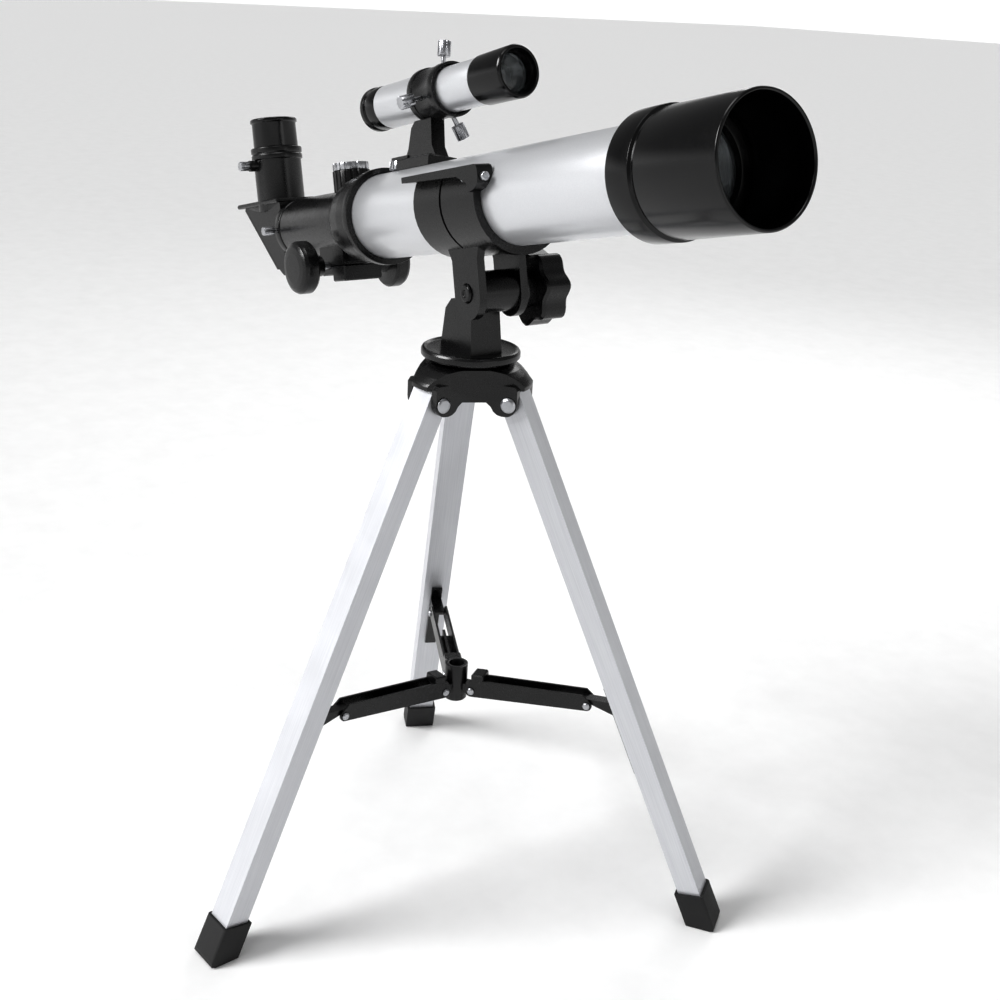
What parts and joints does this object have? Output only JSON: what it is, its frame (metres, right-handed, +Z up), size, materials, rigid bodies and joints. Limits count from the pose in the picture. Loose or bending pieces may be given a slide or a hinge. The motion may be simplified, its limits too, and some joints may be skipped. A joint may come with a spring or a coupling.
{
  "type": "telescope on tripod",
  "caption": "Small refracting telescope with a right-angle eyepiece and finder scope, on a folding table tripod that turns and tilts.",
  "frame": {"origin": "middle of the bounding box in X and Y, on the floor under the boots", "axes": "+X the way the tube points, +Z up, +Y to the left of the tube"},
  "size_m": [0.5548, 0.3226, 0.56],
  "materials": {
    "black_plastic": "moulded satin black plastic",
    "black_enamel": "semi-gloss black paint on aluminium",
    "boot_rubber": "matt black rubber",
    "silver_enamel": "fine metallic silver paint on aluminium",
    "leg_aluminium": "satin anodised extrusion",
    "rivet_steel": "plated steel",
    "screw_chrome": "bright plated brass and steel screws",
    "lens_glass": "coated optical glass",
    "mirror": "front-silvered glass"
  },
  "bodies": {
    "tripod_head": {"tripod_head": "black_plastic", "leg_rivet_1": "rivet_steel", "leg_rivet_2": "rivet_steel", "leg_rivet_3": "rivet_steel"},
    "leg_1": {"leg_1": "leg_aluminium", "leg_boot_1": "boot_rubber", "brace_bracket_1": "black_plastic"},
    "leg_2": {"leg_2": "leg_aluminium", "leg_boot_2": "boot_rubber", "brace_bracket_2": "black_plastic"},
    "leg_3": {"leg_3": "leg_aluminium", "leg_boot_3": "boot_rubber", "brace_bracket_3": "black_plastic"},
    "spreader_hub": {"spreader_hub": "black_plastic", "brace_inner_pin_1": "rivet_steel", "brace_inner_pin_2": "rivet_steel", "brace_inner_pin_3": "rivet_steel"},
    "brace_1": {"brace_1": "black_plastic", "brace_outer_pin_1": "rivet_steel"},
    "brace_2": {"brace_2": "black_plastic", "brace_outer_pin_2": "rivet_steel"},
    "brace_3": {"brace_3": "black_plastic", "brace_outer_pin_3": "rivet_steel"},
    "mount_yoke": {"mount_yoke": "black_plastic", "azimuth_bolt": "rivet_steel", "azimuth_washer": "rivet_steel"},
    "optical_tube": {"tube_cradle": "black_plastic", "altitude_bolt": "black_enamel", "altitude_washer": "black_plastic", "cradle_screw": "screw_chrome", "main_tube": "silver_enamel", "objective_cell": "black_enamel", "objective_lens": "lens_glass", "dew_shield": "black_enamel", "focuser_housing": "black_plastic", "pinion_cap": "black_plastic", "finder_bracket": "black_plastic", "finder_tube": "silver_enamel", "finder_hood": "black_enamel", "finder_objective_lens": "lens_glass"},
    "altitude_knob": {"altitude_knob": "black_plastic"},
    "drawtube": {"drawtube": "black_enamel"},
    "focus_pinion": {"focus_pinion": "rivet_steel", "focus_knob_near": "black_plastic", "focus_knob_far": "black_plastic"},
    "focus_lock_knob": {"focus_lock_knob": "screw_chrome"},
    "diagonal_setscrew": {"diagonal_setscrew": "screw_chrome"},
    "diagonal": {"diagonal_body": "black_plastic", "diagonal_cover": "black_plastic", "diagonal_mirror": "mirror"},
    "eyepiece_setscrew": {"eyepiece_setscrew": "screw_chrome"},
    "eyepiece": {"eyepiece_body": "black_enamel", "eyepiece_lens": "lens_glass"},
    "finder_eyepiece": {"finder_eyepiece_ring": "black_enamel", "finder_eye_lens": "lens_glass"},
    "finder_thumbscrew_1": {"finder_thumbscrew_1": "screw_chrome"},
    "finder_thumbscrew_2": {"finder_thumbscrew_2": "screw_chrome"},
    "finder_thumbscrew_3": {"finder_thumbscrew_3": "screw_chrome"},
    "finder_foot_nut": {"finder_foot_nut": "screw_chrome"}
  },
  "joints": [
    {"name": "leg_fold_1", "type": "hinge", "parent": "tripod_head", "child": "leg_1", "pos_m": [0.05931, 0.05578, 0.34796], "axis": [-0.5779, 0.8161, 0], "range_deg": [0, 17.97]},
    {"name": "leg_fold_2", "type": "hinge", "parent": "tripod_head", "child": "leg_2", "pos_m": [0.03615, 0.00543, 0.34796], "axis": [0.9957, 0.0924, 0], "range_deg": [0, 17.97]},
    {"name": "leg_fold_3", "type": "hinge", "parent": "tripod_head", "child": "leg_3", "pos_m": [0.00413, 0.05066, 0.34796], "axis": [-0.4179, -0.9085, 0], "range_deg": [0, 17.97]},
    {"name": "hub_slide", "type": "slide", "parent": "tripod_head", "child": "spreader_hub", "axis": [0, 0, 1], "range_m": [0, 0.0794]},
    {"name": "brace_fold_1", "type": "hinge", "parent": "spreader_hub", "child": "brace_1", "pos_m": [0.04405, 0.04498, 0.13821], "axis": [-0.5779, 0.8161, 0], "range_deg": [0, 83.95]},
    {"name": "brace_fold_2", "type": "hinge", "parent": "spreader_hub", "child": "brace_2", "pos_m": [0.03443, 0.02405, 0.13821], "axis": [0.9957, 0.0924, 0], "range_deg": [0, 83.95]},
    {"name": "brace_fold_3", "type": "hinge", "parent": "spreader_hub", "child": "brace_3", "pos_m": [0.02111, 0.04285, 0.13821], "axis": [-0.4179, -0.9085, 0], "range_deg": [0, 83.95]},
    {"name": "azimuth_turn", "type": "hinge", "parent": "tripod_head", "child": "mount_yoke", "pos_m": [0.0332, 0.03729, 0.36976], "axis": [0, 0, 1], "continuous": true},
    {"name": "altitude_tilt", "type": "hinge", "parent": "mount_yoke", "child": "optical_tube", "pos_m": [0.0526, 0.03729, 0.41716], "axis": [0, -1, 0], "range_deg": [-30, 45]},
    {"name": "altitude_knob_turn", "type": "hinge", "parent": "optical_tube", "child": "altitude_knob", "pos_m": [0.0526, 0.03729, 0.41716], "axis": [0, 1, 0], "range_deg": [0, 360]},
    {"name": "focus_slide", "type": "slide", "parent": "optical_tube", "child": "drawtube", "axis": [-0.974, 0, -0.2265], "range_m": [0, 0.045]},
    {"name": "focus_turn", "type": "hinge", "parent": "optical_tube", "child": "focus_pinion", "pos_m": [-0.12872, 0.03729, 0.39995], "axis": [0, -1, 0], "range_deg": [0, 469]},
    {"name": "focus_lock_turn", "type": "hinge", "parent": "optical_tube", "child": "focus_lock_knob", "pos_m": [-0.12455, 0.03729, 0.4615], "axis": [-0.2265, 0, 0.974], "range_deg": [0, 360]},
    {"name": "diagonal_setscrew_turn", "type": "hinge", "parent": "drawtube", "child": "diagonal_setscrew", "pos_m": [-0.19791, 0.00729, 0.41364], "axis": [0, -1, 0], "range_deg": [0, 360]},
    {"name": "diagonal_turn", "type": "hinge", "parent": "drawtube", "child": "diagonal", "pos_m": [-0.21028, 0.03729, 0.41076], "axis": [0.974, 0, 0.2265], "range_deg": [-180, 180]},
    {"name": "eyepiece_setscrew_turn", "type": "hinge", "parent": "diagonal", "child": "eyepiece_setscrew", "pos_m": [-0.24138, 0.00729, 0.45486], "axis": [0, -1, 0], "range_deg": [0, 360]},
    {"name": "eyepiece_slide", "type": "slide", "parent": "diagonal", "child": "eyepiece", "axis": [-0.2265, 0, 0.974], "range_m": [0, 0.02]},
    {"name": "finder_focus_slide", "type": "slide", "parent": "optical_tube", "child": "finder_eyepiece", "axis": [-0.9718, -0.0397, -0.2323], "range_m": [0, 0.005]},
    {"name": "finder_thumbscrew_turn_1", "type": "hinge", "parent": "optical_tube", "child": "finder_thumbscrew_1", "pos_m": [-0.0381, 0.0549, 0.55332], "axis": [-0.223, 0.1736, 0.9592], "range_deg": [0, 360]},
    {"name": "finder_thumbscrew_turn_2", "type": "hinge", "parent": "optical_tube", "child": "finder_thumbscrew_2", "pos_m": [-0.03053, 0.02265, 0.52079], "axis": [0.0471, -0.9781, -0.2025], "range_deg": [0, 360]},
    {"name": "finder_thumbscrew_turn_3", "type": "hinge", "parent": "optical_tube", "child": "finder_thumbscrew_3", "pos_m": [-0.02615, 0.06231, 0.50195], "axis": [0.2036, 0.4384, -0.8754], "range_deg": [0, 360]},
    {"name": "finder_foot_nut_turn", "type": "hinge", "parent": "optical_tube", "child": "finder_foot_nut", "pos_m": [-0.06623, 0.04267, 0.4756], "axis": [-0.223, 0.1736, 0.9592], "range_deg": [0, 360]}
  ],
  "couplings": [
    {"joint": "leg_fold_2", "follows": "leg_fold_1", "ratio": 1},
    {"joint": "leg_fold_3", "follows": "leg_fold_1", "ratio": 1},
    {"joint": "hub_slide", "follows": "leg_fold_1", "m_per_rad": 0.25312},
    {"joint": "brace_fold_1", "follows": "leg_fold_1", "ratio": 4.671},
    {"joint": "brace_fold_2", "follows": "leg_fold_1", "ratio": 4.671},
    {"joint": "brace_fold_3", "follows": "leg_fold_1", "ratio": 4.671},
    {"joint": "focus_turn", "follows": "focus_slide", "rad_per_m": 181.82}
  ]
}
